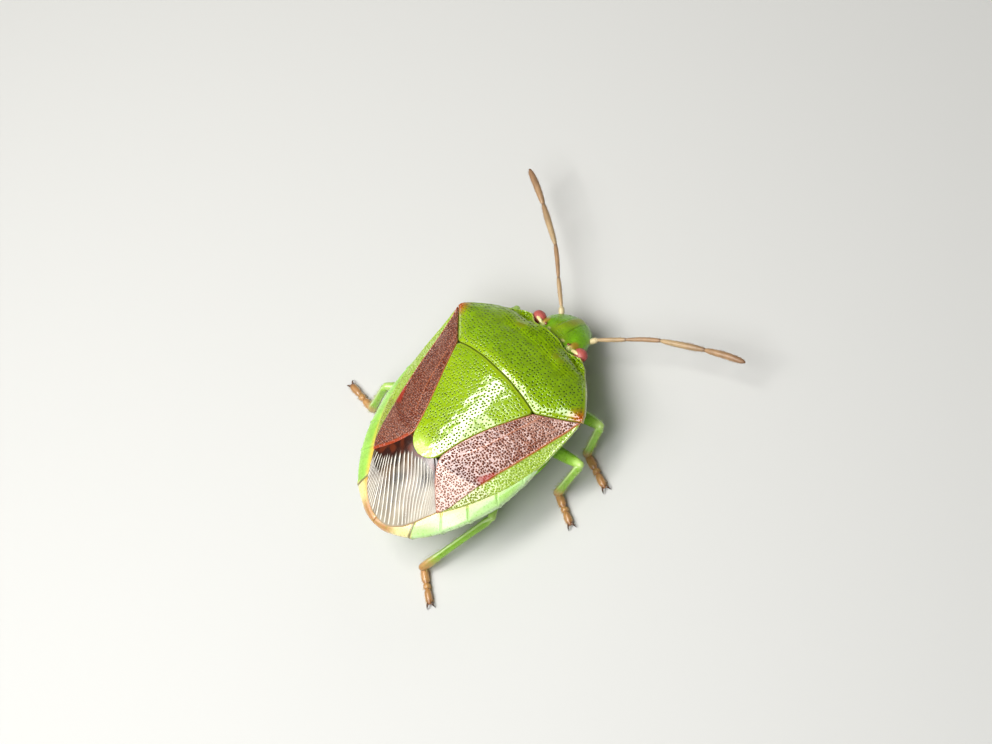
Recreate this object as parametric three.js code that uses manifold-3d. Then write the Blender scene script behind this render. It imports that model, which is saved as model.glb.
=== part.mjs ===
// Green shield bug with reddish-brown forewings, standing on six feet, at life size.
// Millimetres: +Y is forward, +X is the bug's right, +Z is up and the floor is z = 0.
import * as THREE from 'three';
import { mergeVertices } from 'three/addons/utils/BufferGeometryUtils.js';
import Module from 'manifold-3d';

const wasm = await Module();
wasm.setup();

// Driving dimensions
const GAP = 0.2; // left between pieces that meet
const EYE_GAP = 0.14;
const PLATE = 0.5; // thickness of the back plates and wings
const RIM = 0.3; // height of the trunk's own edge below the plates
const HUMERAL_HEIGHT = 3.35; // shoulder angles above the floor
const HEAD_REAR = 2.0; // y of the head's rear face
const HEAD_FRONT = 3.2;
const PRONOTUM_RAISE = 0.05;
const SCUTELLUM_TIP = -5.75;
const MEMBRANE_DROP = 0.12;
const VEIN_HEIGHT = 0.1;
const VEIN_COUNT = 9; // on the membrane that lies on top
const VEIN_FOOT = 0.28; // half width of a vein's foot, in vein pitches
const SUTURE_DEPTH = 0.12;
const SUTURE_HALF_WIDTH = 0.02; // share of the edge's length
const SCUTELLUM_SHARE = 0.56; // part of the shield's half width that the scutellum's base takes
const SCUTELLUM_CLEARANCE = 0.03; // added to the gap where the rear edge curves
const TRUNK_FRONT = 1.6;
const WAIST = -3.5; // where thorax and abdomen meet
const TRUNK_REAR = -9.0;
const THORAX_INSET = 0.35; // trunk sides inside the plates' edge
const ABDOMEN_INSET = 0.12;
const BELLY_POWER = 0.7; // lower is a flatter belly with steeper sides
const HEAD_EDGE_THICKNESS = 0.3;
const FEMUR_RADIUS = 0.3;
const TIBIA_RADIUS = 0.25;
const TARSUS_RADIUS = 0.25;
const SOLE_AXIS = 0.2; // height of the foot's axis, below its radius so the sole is flat
const ANTENNA_RADIUS = 0.25;
const BEAK_RADIUS = 0.24;
const LIMB_SIDES = 10;
const ANKLE_HEIGHT = 0.5;
const CLAW_LENGTH = 0.42;
const CLAW_RADIUS = 0.09;
const CLAW_SPREAD = 0.5; // radians each way from the foot's line
const CLAW_SEAT = 0.2; // length of claw inside the foot

// Colours
const GREEN = 0x8cbf1a;
const PALE_GREEN = 0x9adb40;
const LEG_GREEN = 0x7fb52a;
const REDDISH_BROWN = 0x8b4a3a;
const SMOKE_BROWN = 0x6a5544;
const HEAD_GREEN = 0x5fa02e;
const EYE_RED = 0xb0483c;
const TAN = 0xa98a6b;
const AMBER = 0xc98a4a;

// Smooth value along stations of [place, value], held constant past the ends
function profile(stations) {
  const sorted = [...stations].sort((a, b) => a[0] - b[0]);
  const slope = (i) => {
    const low = sorted[Math.max(i - 1, 0)];
    const high = sorted[Math.min(i + 1, sorted.length - 1)];
    return (high[1] - low[1]) / (high[0] - low[0]);
  };
  return (place) => {
    if (place <= sorted[0][0]) return sorted[0][1];
    if (place >= sorted.at(-1)[0]) return sorted.at(-1)[1];
    const i = sorted.findIndex((station) => station[0] > place) - 1;
    const [start, startValue] = sorted[i];
    const [end, endValue] = sorted[i + 1];
    const span = end - start;
    const t = (place - start) / span;
    const bend = t * t * (3 - 2 * t);
    const leave = t * (1 - t) * (1 - t) * span * slope(i);
    const arrive = t * t * (t - 1) * span * slope(i + 1);
    return startValue + (endValue - startValue) * bend + leave + arrive;
  };
}

// Body form: half width, edge height and crown height along the body, heights from the shoulders
const halfWidth = profile([
  [1.62, 1.5], [1.36, 2.46], [1.02, 3.08], [0.29, 3.92], [0, 4.12], [-0.35, 4.0], [-1.5, 3.97],
  [-3, 3.97], [-4.2, 3.92], [-5, 3.8], [-6, 3.49], [-7, 3.04], [-8, 2.37], [-8.6, 1.78],
  [-9, 1.1], [-9.25, 0.35],
]);
const edgeHeight = profile([
  [1.62, -0.78], [1.02, -0.42], [0.29, -0.08], [0, 0], [-1, -0.14], [-3, -0.26], [-5, -0.28],
  [-7, -0.22], [-8.5, -0.35], [-9.25, -0.45],
]);
const crownHeight = profile([
  [1.8, -0.35], [1, 0.2], [0, 0.8], [-0.85, 1.15], [-2.5, 1.24], [-4, 1.14], [-5.7, 0.88],
  [-6.5, 0.6], [-7.5, 0.28], [-8.5, -0.06], [-9.25, -0.38],
]);
const keelHeight = profile([
  [1.6, 1.4], [0.5, 1.2], [-1.5, 1.1], [-4, 1.1], [-6, 1.15], [-7.5, 1.4], [-8.5, 1.75], [-9, 1.95],
]);

// Height of the back over a point of the plan
function backHeight(x, y) {
  const across = Math.min(Math.abs(x) / halfWidth(y), 1);
  const edge = edgeHeight(y);
  return HUMERAL_HEIGHT + edge + (crownHeight(y) - edge) * (1 - across * across);
}

// Closed, outward-facing geometry with shared corners
function closed(geometry) {
  const plain = geometry.clone();
  plain.deleteAttribute('normal');
  plain.deleteAttribute('uv');
  const merged = mergeVertices(plain, 1e-4);
  const index = merged.getIndex().array;
  const kept = [];
  for (let i = 0; i < index.length; i += 3) {
    const [a, b, c] = index.slice(i, i + 3);
    if (a !== b && b !== c && c !== a) kept.push(a, b, c);
  }
  const corner = (i) => new THREE.Vector3().fromBufferAttribute(merged.attributes.position, i);
  let volume = 0;
  for (let i = 0; i < kept.length; i += 3) {
    volume += corner(kept[i]).dot(corner(kept[i + 1]).cross(corner(kept[i + 2])));
  }
  merged.setIndex(volume < 0 ? kept.reverse() : kept);
  return merged;
}

function toSolid(geometry) {
  const shape = closed(geometry);
  return new wasm.Manifold(new wasm.Mesh({
    numProp: 3,
    vertProperties: new Float32Array(shape.attributes.position.array),
    triVerts: new Uint32Array(shape.getIndex().array),
  }));
}

// Largest body of a solid as a geometry
function toGeometry(solid) {
  const largest = solid.decompose().reduce((a, b) => (b.volume() > a.volume() ? b : a));
  const mesh = largest.getMesh();
  const geometry = new THREE.BufferGeometry();
  geometry.setAttribute('position', new THREE.BufferAttribute(mesh.vertProperties, 3));
  geometry.setIndex(new THREE.BufferAttribute(mesh.triVerts, 1));
  return geometry;
}

// Even steps from 0 to 1
function steps(count) {
  return Array.from({ length: count + 1 }, (_, i) => i / count);
}

// Closed slab between two sheets that share one grid of places across and along
function slab(across, along, top, bottom) {
  const positions = [];
  for (const sheet of [top, bottom]) {
    for (const v of along) {
      for (const u of across) positions.push(...sheet(u, v));
    }
  }
  const wide = across.length;
  const long = along.length;
  const at = (sheet, i, j) => sheet * wide * long + j * wide + i;
  const indices = [];
  const quad = (a, b, c, d) => indices.push(a, b, c, a, c, d);
  for (let j = 0; j < long - 1; j += 1) {
    for (let i = 0; i < wide - 1; i += 1) {
      quad(at(0, i, j), at(0, i, j + 1), at(0, i + 1, j + 1), at(0, i + 1, j));
      const [a, b, c, d] = [at(1, i, j), at(1, i, j + 1), at(1, i + 1, j + 1), at(1, i + 1, j)];
      indices.push(a, c, b, a, d, c);
    }
  }
  for (let i = 0; i < wide - 1; i += 1) {
    quad(at(0, i, 0), at(0, i + 1, 0), at(1, i + 1, 0), at(1, i, 0));
    quad(at(0, i + 1, long - 1), at(0, i, long - 1), at(1, i, long - 1), at(1, i + 1, long - 1));
  }
  for (let j = 0; j < long - 1; j += 1) {
    quad(at(0, 0, j + 1), at(0, 0, j), at(1, 0, j), at(1, 0, j + 1));
    quad(at(0, wide - 1, j), at(0, wide - 1, j + 1), at(1, wide - 1, j + 1), at(1, wide - 1, j));
  }
  const geometry = new THREE.BufferGeometry();
  geometry.setAttribute('position', new THREE.Float32BufferAttribute(positions, 3));
  geometry.setIndex(indices);
  return geometry;
}

// Plate of even thickness whose top lies on the back, placed by a plan of (u, v) to (x, y)
function plate(across, along, plan, relief = () => 0) {
  const top = (u, v) => {
    const [x, y] = plan(u, v);
    return [x, y, backHeight(x, y) + relief(u, v)];
  };
  const bottom = (u, v) => {
    const [x, y] = plan(u, v);
    return [x, y, backHeight(x, y) - PLATE];
  };
  return slab(across, along, top, bottom);
}

// Smooth plan curve through a few points, called with 0 to 1
function planCurve(points) {
  const curve = new THREE.CatmullRomCurve3(points.map(([x, y]) => new THREE.Vector3(x, y, 0)));
  return (t) => {
    const point = curve.getPoint(t);
    return [point.x, point.y];
  };
}

const mix = (a, b, t) => a + (b - a) * t;
const blend = ([ax, ay], [bx, by], t) => [mix(ax, bx, t), mix(ay, by, t)];

// Round piece along a straight axis, its shares being [part of the length, share of the radius]
function limb(from, to, shares, radius, grow = 0) {
  const start = new THREE.Vector3(...from);
  const end = new THREE.Vector3(...to);
  const axis = end.clone().sub(start);
  const length = axis.length();
  const points = [new THREE.Vector2(0, -grow)];
  for (const [part, share] of shares) {
    points.push(new THREE.Vector2(share * radius + grow, mix(-grow, length + grow, part)));
  }
  points.push(new THREE.Vector2(0, length + grow));
  const geometry = new THREE.LatheGeometry(points, LIMB_SIDES);
  const up = new THREE.Vector3(0, 1, 0);
  const turn = new THREE.Quaternion().setFromUnitVectors(up, axis.normalize());
  geometry.applyQuaternion(turn);
  geometry.translate(start.x, start.y, start.z);
  return geometry;
}

// Shield across the shoulders
const pronotumRear = profile([
  [0, -0.85], [0.3, -0.92], [0.6, -1.15], [0.8, -0.66], [0.92, -0.3], [1, -0.05],
]);
const pronotumSide = profile([[0, 4.12], [0.18, 3.92], [0.63, 3.08], [0.84, 2.46], [1, 1.5]]);
const pronotumFront = profile([[0, 1.8], [0.6, 1.75], [1, 1.62]]);
function pronotum() {
  const plan = (u, v) => {
    const side = 2 * u - 1;
    const rear = pronotumRear(Math.abs(side));
    return [side * pronotumSide(v), mix(rear, pronotumFront(Math.abs(side)), v)];
  };
  return plate(steps(20), steps(9), plan, () => PRONOTUM_RAISE);
}

// Triangular plate behind it, with a rounded tongue at its tip
const scutellumSide = profile([
  [0, 2.3], [0.25, 1.92], [0.5, 1.46], [0.75, 1.0], [0.9, 0.78], [0.96, 0.6], [1, 0.3],
]);
function scutellum() {
  const plan = (u, v) => {
    const side = 2 * u - 1;
    const x = side * scutellumSide(v);
    const rear = pronotumRear(Math.abs(side) * SCUTELLUM_SHARE);
    const base = rear - GAP - SCUTELLUM_CLEARANCE;
    return [x, mix(base, SCUTELLUM_TIP, v)];
  };
  const along = [0, 0.12, 0.25, 0.38, 0.5, 0.62, 0.75, 0.85, 0.92, 0.97, 1];
  return plate(steps(10), along, plan);
}

// Raised line across a grid at one of its places
function ridge(u, lines, height) {
  return lines.some((line) => Math.abs(line - u) < 1e-6) ? height : 0;
}

// Leathery fore part of a wing, from the shoulder to its corner beside the membrane
function corium(side) {
  const inner = planCurve([
    [2.66, -1.46], [2.2, -2.5], [1.72, -3.5], [1.24, -4.6], [1.18, -5.6], [1.98, -6.86],
  ]);
  const outer = planCurve([
    [3.8, -0.56], [3.95, -1.6], [3.92, -2.8], [3.58, -4.2], [3.02, -5.6], [2.26, -6.9],
  ]);
  const plan = (u, v) => {
    const [x, y] = blend(inner(v), outer(v), u);
    return [side * x, y];
  };
  const veins = [0.26, 0.66];
  const across = [0, 0.18, 0.26, 0.34, 0.58, 0.66, 0.74, 1];
  return plate(across, steps(12), plan, (u) => ridge(u, veins, VEIN_HEIGHT));
}

// Rear edge of the wings over the tail
const wingEnd = planCurve([
  [-1.82, -7.62], [-1.4, -8.12], [-0.8, -8.6], [0, -8.8], [0.8, -8.6], [1.4, -8.12], [1.82, -7.62],
]);

// Clear rear part of the left wing, which lies over the other and fans its veins back to the right
function upperMembrane() {
  const root = planCurve([[-1.92, -7.3], [-1.36, -6.4], [-0.98, -5.86], [-0.4, -6.0], [0.2, -6.0]]);
  const pitch = 1 / (VEIN_COUNT + 1);
  const veins = Array.from({ length: VEIN_COUNT }, (_, i) => (i + 1) * pitch);
  const foot = VEIN_FOOT * pitch;
  const across = [0, 1];
  for (const vein of veins) across.push(vein - foot, vein, vein + foot);
  across.sort((a, b) => a - b);
  const plan = (u, v) => blend(root(u), wingEnd(u), v);
  const relief = (u) => ridge(u, veins, VEIN_HEIGHT) - MEMBRANE_DROP;
  return plate(across, steps(6), plan, relief);
}

// Part of the right wing's membrane that shows beside the upper one
function lowerMembrane() {
  const corner = planCurve([[1.02, -5.72], [1.4, -6.3], [1.98, -7.1]]);
  const under = planCurve([[0.55, -6.05], [1.0, -6.5], [1.5, -7.02], [1.88, -7.4]]);
  const plan = (u, v) => blend(corner(v), under(v), u);
  const across = [0, 0.4, 0.5, 0.6, 1];
  return plate(across, steps(6), plan, (u) => ridge(u, [0.5], VEIN_HEIGHT) - MEMBRANE_DROP);
}

// Flat edge of the abdomen that shows beside a wing, with a groove between its segments
function connexivum(side) {
  const inner = planCurve([
    [3.79, -4.3], [3.24, -5.68], [2.46, -7.0], [1.72, -8.0], [1.02, -8.66], [0.14, -9.02],
  ]);
  const outer = planCurve([
    [3.92, -4.3], [3.6, -5.68], [3.04, -7.0], [2.37, -8.0], [1.42, -8.8], [0.14, -9.25],
  ]);
  const plan = (u, v) => {
    const [x, y] = blend(inner(v), outer(v), u);
    return [side * x, y];
  };
  const sutures = [0.14, 0.36, 0.56, 0.76];
  const clear = (v) => sutures.every((suture) => Math.abs(suture - v) > 1.5 * SUTURE_HALF_WIDTH);
  const along = steps(12).filter(clear);
  for (const suture of sutures) {
    along.push(suture - SUTURE_HALF_WIDTH, suture, suture + SUTURE_HALF_WIDTH);
  }
  along.sort((a, b) => a - b);
  return plate([0, 0.5, 1], along, plan, (u, v) => -ridge(v, sutures, SUTURE_DEPTH));
}

// Trunk under the plates between two places along the body
function trunk(front, rear, inset, alongCount) {
  const width = (y) => halfWidth(y) - inset;
  const plan = (u, v) => {
    const y = mix(front, rear, v);
    return [(2 * u - 1) * width(y), y];
  };
  const top = (u, v) => {
    const [x, y] = plan(u, v);
    return [x, y, backHeight(x, y) - PLATE - GAP];
  };
  const bottom = (u, v) => {
    const [x, y] = plan(u, v);
    const rim = backHeight(width(y), y) - PLATE - GAP - RIM;
    const side = 2 * u - 1;
    const swell = Math.pow(1 - side * side, BELLY_POWER);
    return [x, y, mix(rim, Math.min(keelHeight(y), rim), swell)];
  };
  return slab(steps(14), steps(alongCount), top, bottom);
}

// Head, sloping forward from the shoulders to its rounded front
const headSide = profile([
  [2.0, 1.15], [2.4, 1.07], [2.7, 1.0], [2.92, 0.74], [3.07, 0.45], [3.2, 0.12],
]);
const headCrown = profile([[2.0, 2.66], [2.5, 2.42], [2.9, 2.06], [3.2, 1.72]]);
const headEdge = profile([[2.0, 2.1], [2.5, 1.9], [2.9, 1.74], [3.2, 1.64]]);
const headChin = profile([[2.0, 1.32], [2.6, 1.36], [3.2, 1.44]]);
function headBlock() {
  const plan = (u, v) => {
    const y = mix(HEAD_REAR, HEAD_FRONT, v);
    return [2 * u - 1, y];
  };
  const top = (u, v) => {
    const [side, y] = plan(u, v);
    return [side * headSide(y), y, mix(headCrown(y), headEdge(y), side * side)];
  };
  const bottom = (u, v) => {
    const [side, y] = plan(u, v);
    const edge = headEdge(y) - HEAD_EDGE_THICKNESS;
    const swell = Math.pow(1 - side * side, BELLY_POWER);
    return [side * headSide(y), y, mix(edge, Math.min(headChin(y), edge), swell)];
  };
  return slab(steps(12), [0, 0.17, 0.34, 0.5, 0.64, 0.76, 0.87, 0.95, 1], top, bottom);
}

const EYE_CENTRE = [1.18, 2.22, 2.26];
const EYE_RADII = [0.34, 0.36, 0.36];
function eye(side, grow = 0) {
  const geometry = new THREE.SphereGeometry(1, 16, 10);
  geometry.scale(...EYE_RADII.map((radius) => radius + grow));
  geometry.translate(side * EYE_CENTRE[0], EYE_CENTRE[1], EYE_CENTRE[2]);
  return geometry;
}

// Feelers of five lengths, as joints of the right one
const ANTENNA_JOINTS = [
  [0.86, 2.64, 1.62], [1.22, 3.0, 1.8], [2.21, 3.8, 1.92], [3.42, 4.76, 1.92], [5.24, 5.72, 1.98],
  [6.96, 6.46, 1.98],
];
function antennaLength(side, number, grow = 0) {
  const [start, end] = ANTENNA_JOINTS.slice(number, number + 2).map(
    ([x, y, z]) => new THREE.Vector3(side * x, y, z),
  );
  const trim = end.clone().sub(start).setLength(GAP / 2);
  if (number > 0) start.add(trim);
  end.sub(trim);
  const last = number === ANTENNA_JOINTS.length - 2;
  const shares = [[0, 0.5], [0.12, 0.9], [0.3, 1], [0.8, 1], [0.95, 0.9], [1, last ? 0.35 : 0.6]];
  return limb(start.toArray(), end.toArray(), shares, ANTENNA_RADIUS, grow);
}

// Beak folded back under the head and breast
const BEAK_FRONT = [0, 2.86, 1.04];
const BEAK_REAR = [0, -1.5, 0.66];
function beak(grow = 0) {
  const shares = [[0, 0.6], [0.06, 1], [0.7, 1], [0.95, 0.85], [1, 0.4]];
  return limb(BEAK_FRONT, BEAK_REAR, shares, BEAK_RADIUS, grow);
}

// Legs: hip, knee, ankle and toe of each, in the pose of a standing step
const LEGS = {
  front_left: {
    hip: [-1.3, -0.1, 1.0], knee: [-2.95, 1.6, 1.35], ankle: [-3.9, -0.1], toe: [-5.2, -0.7],
  },
  front_right: {
    hip: [1.3, -0.1, 1.0], knee: [4.15, 0.39, 1.85], ankle: [3.89, -0.87], toe: [5.45, -1.35],
  },
  mid_left: {
    hip: [-1.4, -2.1, 1.0], knee: [-4.72, -4.8, 1.85], ankle: [-5.24, -6.0], toe: [-6.95, -5.9],
  },
  mid_right: {
    hip: [1.4, -2.1, 1.0], knee: [4.75, -1.37, 1.9], ankle: [4.16, -2.94], toe: [5.5, -3.5],
  },
  hind_left: {
    hip: [-1.0, -3.5, 0.98], knee: [-3.3, -5.5, 1.5], ankle: [-0.9, -8.4], toe: [-2.2, -8.75],
  },
  hind_right: {
    hip: [1.0, -3.5, 0.98], knee: [3.27, -5.61, 1.5], ankle: [1.97, -9.29], toe: [3.3, -10.15],
  },
};

function femur(leg, grow = 0) {
  const shares = [[0, 0.7], [0.08, 0.95], [0.35, 1], [0.75, 0.95], [0.94, 0.85], [1, 0.45]];
  return limb(leg.hip, leg.knee, shares, FEMUR_RADIUS, grow);
}

function tarsus(leg, grow = 0) {
  const shares = [[0, 0.6], [0.08, 0.95], [0.4, 1], [0.52, 0.84], [0.64, 1], [0.92, 0.86], [1, 0.45]];
  return limb([...leg.ankle, SOLE_AXIS], [...leg.toe, SOLE_AXIS], shares, TARSUS_RADIUS, grow);
}

function tibia(leg) {
  const shares = [[0, 0.6], [0.05, 0.95], [0.5, 0.92], [0.9, 1], [1, 0.7]];
  return toGeometry(toSolid(limb(leg.knee, [...leg.ankle, ANKLE_HEIGHT], shares, TIBIA_RADIUS))
    .subtract(toSolid(femur(leg, GAP)))
    .subtract(toSolid(tarsus(leg, GAP))));
}

// Foot with two claws, cut level where it stands
function foot(leg) {
  const toe = new THREE.Vector3(...leg.toe, SOLE_AXIS);
  const line = toe.clone().sub(new THREE.Vector3(...leg.ankle, SOLE_AXIS)).normalize();
  let solid = toSolid(tarsus(leg));
  for (const way of [-1, 1]) {
    const lean = line.clone().applyAxisAngle(new THREE.Vector3(0, 0, 1), way * CLAW_SPREAD);
    const root = toe.clone().addScaledVector(line, -CLAW_SEAT);
    const tip = root.clone().addScaledVector(lean, CLAW_LENGTH);
    tip.z = CLAW_RADIUS;
    const claw = limb(root.toArray(), tip.toArray(), [[0, 1], [0.6, 0.8], [1, 0.3]], CLAW_RADIUS);
    solid = solid.add(toSolid(claw));
  }
  const floor = new THREE.BoxGeometry(30, 30, 2);
  floor.translate(0, 0, -1);
  return toGeometry(solid.subtract(toSolid(floor)));
}

// Pieces cut clear of what sits in them
const SIDES = { left: -1, right: 1 };
function head() {
  let solid = toSolid(headBlock()).subtract(toSolid(beak(GAP)));
  for (const side of Object.values(SIDES)) {
    solid = solid.subtract(toSolid(eye(side, EYE_GAP)));
    solid = solid.subtract(toSolid(antennaLength(side, 0, EYE_GAP)));
  }
  return toGeometry(solid);
}

function clearOfLegs(geometry) {
  let solid = toSolid(geometry);
  for (const leg of Object.values(LEGS)) solid = solid.subtract(toSolid(femur(leg, GAP)));
  return toGeometry(solid);
}

const bug = new THREE.Group();
function add(name, geometry, color, roughness = 0.45) {
  const material = new THREE.MeshStandardMaterial({ color, roughness, metalness: 0 });
  const mesh = new THREE.Mesh(closed(geometry), material);
  mesh.name = name;
  bug.add(mesh);
}

add('head', head(), HEAD_GREEN);
add('rostrum', beak(), AMBER);
add('pronotum', pronotum(), GREEN, 0.35);
add('scutellum', scutellum(), GREEN, 0.35);
const thorax = trunk(TRUNK_FRONT, WAIST + GAP / 2, THORAX_INSET, 9);
const abdomen = trunk(WAIST - GAP / 2, TRUNK_REAR, ABDOMEN_INSET, 11);
add('thorax', clearOfLegs(thorax), PALE_GREEN);
add('abdomen', clearOfLegs(abdomen), PALE_GREEN);
add('membrane_left', upperMembrane(), SMOKE_BROWN, 0.2);
add('membrane_right', lowerMembrane(), SMOKE_BROWN, 0.2);
for (const [name, side] of Object.entries(SIDES)) {
  add(`corium_${name}`, corium(side), REDDISH_BROWN);
  add(`connexivum_${name}`, connexivum(side), PALE_GREEN);
  add(`eye_${name}`, eye(side), EYE_RED, 0.3);
  for (let number = 0; number < ANTENNA_JOINTS.length - 1; number += 1) {
    add(`antenna_${name}_${number + 1}`, antennaLength(side, number), TAN);
  }
}
for (const [name, leg] of Object.entries(LEGS)) {
  add(`femur_${name}`, femur(leg), LEG_GREEN);
  add(`tibia_${name}`, tibia(leg), LEG_GREEN);
  add(`tarsus_${name}`, foot(leg), AMBER);
}

// Origin on the floor under the middle of the whole outline
const bounds = new THREE.Box3().setFromObject(bug);
const middle = bounds.getCenter(new THREE.Vector3());
bug.position.set(-middle.x, -middle.y, 0);

export default bug;
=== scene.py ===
import bpy
import numpy as np
from mathutils import Matrix, Vector


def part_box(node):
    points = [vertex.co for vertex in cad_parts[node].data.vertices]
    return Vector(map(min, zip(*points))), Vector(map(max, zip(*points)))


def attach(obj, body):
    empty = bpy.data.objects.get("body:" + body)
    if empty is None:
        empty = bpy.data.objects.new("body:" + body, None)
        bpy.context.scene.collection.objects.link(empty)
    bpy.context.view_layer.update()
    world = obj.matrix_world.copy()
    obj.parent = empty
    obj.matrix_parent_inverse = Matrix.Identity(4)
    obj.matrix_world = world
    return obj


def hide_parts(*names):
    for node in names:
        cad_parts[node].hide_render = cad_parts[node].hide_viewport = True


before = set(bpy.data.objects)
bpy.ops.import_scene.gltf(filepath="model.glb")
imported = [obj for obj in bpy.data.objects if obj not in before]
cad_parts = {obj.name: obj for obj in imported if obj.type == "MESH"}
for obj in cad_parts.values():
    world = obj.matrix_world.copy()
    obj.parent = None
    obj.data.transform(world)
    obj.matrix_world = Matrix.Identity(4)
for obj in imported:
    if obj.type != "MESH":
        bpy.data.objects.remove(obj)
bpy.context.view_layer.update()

# The bug's own frame is in millimetres: +X right, +Y forward, z = 0 the floor
MM = 0.001
low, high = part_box("pronotum")
ORIGIN = np.array([(low[0] + high[0]) / 2, high[1] - 1.8 * MM, 0.0])
SHOULDER = 3.35  # height of the shoulders' edge
PIT_DEPTH = 0.03  # on the shield and the triangular plate
SCUTELLUM_SHARE = 0.607  # part of the shield's half width that the triangular plate's base takes
HAIR_RADIUS = 0.006
CAP_RINGS = 3  # rings that round off each end of a tube
ROUND = (1.0, 1.0)  # section of a tube that isn't flattened
SIDES = (("left", -1), ("right", 1))


# Small numeric helpers
def profile(stations):
    """Smooth value along stations of (place, value), held constant past the ends."""
    xs, ys = np.array(sorted(stations), float).T
    slopes = np.empty_like(ys)
    for i in range(len(xs)):
        a, b = max(i - 1, 0), min(i + 1, len(xs) - 1)
        slopes[i] = (ys[b] - ys[a]) / (xs[b] - xs[a])

    def value(place):
        p = np.clip(np.asarray(place, float), xs[0], xs[-1])
        i = np.clip(np.searchsorted(xs, p, side="right") - 1, 0, len(xs) - 2)
        span = xs[i + 1] - xs[i]
        t = (p - xs[i]) / span
        bend = t * t * (3 - 2 * t)
        leave = t * (1 - t) ** 2 * span * slopes[i]
        arrive = t * t * (t - 1) * span * slopes[i + 1]
        return ys[i] + (ys[i + 1] - ys[i]) * bend + leave + arrive

    return value


def mix(a, b, t):
    return a + (b - a) * t


def step(low, high, x):
    """Smooth step from 0 at low to 1 at high."""
    t = clamp((np.asarray(x, float) - low) / (high - low))
    return t * t * (3 - 2 * t)


def clamp(x):
    return np.clip(x, 0, 1)


def bell(x, middle, half):
    """1 at the middle, falling smoothly to 0 at half a width away."""
    return 1 - step(0, half, np.abs(x - middle))


def unit(ways):
    """Directions of length 1, along the last axis."""
    return ways / np.linalg.norm(ways, axis=-1)[..., None]


def spread(x, y, z):
    """Points in rows from three grids."""
    return np.stack([x.ravel(), y.ravel(), z.ravel()], 1)


def curve(points):
    """Smooth plan or space curve through the points, called with 0 to 1."""
    points = np.array(points, float)
    parts = np.linspace(0, 1, len(points))
    lines = [profile(list(zip(parts, points[:, k]))) for k in range(points.shape[1])]
    return lambda t: np.stack([line(t) for line in lines], -1)


def even_curve(points):
    """The same with even steps along its length."""
    rough = curve(points)
    t = np.linspace(0, 1, 400)
    at = rough(t)
    run = np.concatenate([[0], np.cumsum(np.linalg.norm(np.diff(at, axis=0), axis=1))])
    return lambda s: np.stack([np.interp(np.asarray(s) * run[-1], run, line) for line in at.T], -1)


def hashed(i, j, seed):
    """Even random numbers from 0 to 1 for integer cells."""
    with np.errstate(over="ignore"):
        i, j = i.astype(np.int64), j.astype(np.int64)
        n = (i * 374761393 + j * 668265263 + seed * 974634777).astype(np.uint32)
        n = (n ^ (n >> np.uint32(13))) * np.uint32(1274126177)
        n = n ^ (n >> np.uint32(16))
        n = n * np.uint32(2246822519)
        n = n ^ (n >> np.uint32(15))
    return n.astype(float) / 4294967296.0


def pits(x, y, spacing, radius, seed, keep, jitter=0.6, rows=0.0):
    """Depth from 0 to 1 of small round pits on a jittered grid over the plan."""
    gx, gy = x / spacing, y / spacing
    i0, j0 = np.floor(gx).astype(int), np.floor(gy).astype(int)
    nearest = np.full(x.shape, 9.0)
    for di in (-1, 0, 1):
        for dj in (-1, 0, 1):
            i, j = i0 + di, j0 + dj
            cx = i + 0.5 + jitter * (hashed(i, j, seed) - 0.5) + 0.5 * (j % 2)
            cy = j + 0.5 + jitter * (1 - rows) * (hashed(i, j, seed + 1) - 0.5)
            size = 0.75 + 0.5 * hashed(i, j, seed + 2)
            there = hashed(i, j, seed + 3) < keep
            d = np.hypot(gx - cx, gy - cy) * spacing / (radius * size)
            nearest = np.minimum(nearest, np.where(there, d, 9.0))
    return 1 - step(0.35, 1.15, nearest)


def waves(x, y, size, seed):
    """Soft random field from -1 to 1 with features of about that size."""
    rng = np.random.default_rng(seed)
    total = np.zeros(np.shape(x))
    for k in range(7):
        angle, phase = rng.uniform(0, 2 * np.pi, 2)
        scale = rng.uniform(0.7, 1.5) / size
        total += np.sin(scale * (x * np.cos(angle) + y * np.sin(angle)) * 2.2 + phase)
    return total / 4


# Body form, from the same named stations as the solids
half_width = profile([
    (1.62, 1.5), (1.36, 2.46), (1.02, 3.08), (0.29, 3.92), (0, 4.12), (-0.35, 4.0), (-1.5, 3.97),
    (-3, 3.97), (-4.2, 3.92), (-5, 3.8), (-6, 3.49), (-7, 3.04), (-8, 2.37), (-8.6, 1.78),
    (-9, 1.1), (-9.25, 0.35),
])
edge_height = profile([
    (1.62, -0.78), (1.02, -0.42), (0.29, -0.08), (0, 0), (-1, -0.14), (-3, -0.26), (-5, -0.28),
    (-7, -0.22), (-8.5, -0.35), (-9.25, -0.45),
])
crown_height = profile([
    (1.8, -0.35), (1, 0.2), (0, 0.8), (-0.85, 1.15), (-2.5, 1.24), (-4, 1.14), (-5.7, 0.88),
    (-6.5, 0.6), (-7.5, 0.28), (-8.5, -0.06), (-9.25, -0.38),
])
keel_height = profile([
    (1.6, 1.4), (0.5, 1.2), (-1.5, 1.1), (-4, 1.1), (-6, 1.15), (-7.5, 1.4), (-8.5, 1.75), (-9, 1.95),
])


def back_height(x, y):
    across = np.minimum(np.abs(x) / half_width(y), 1)
    edge = edge_height(y)
    return SHOULDER + edge + (crown_height(y) - edge) * (1 - across ** 2)


# Meshes
def link(ob):
    bpy.context.scene.collection.objects.link(ob)
    return ob


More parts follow.
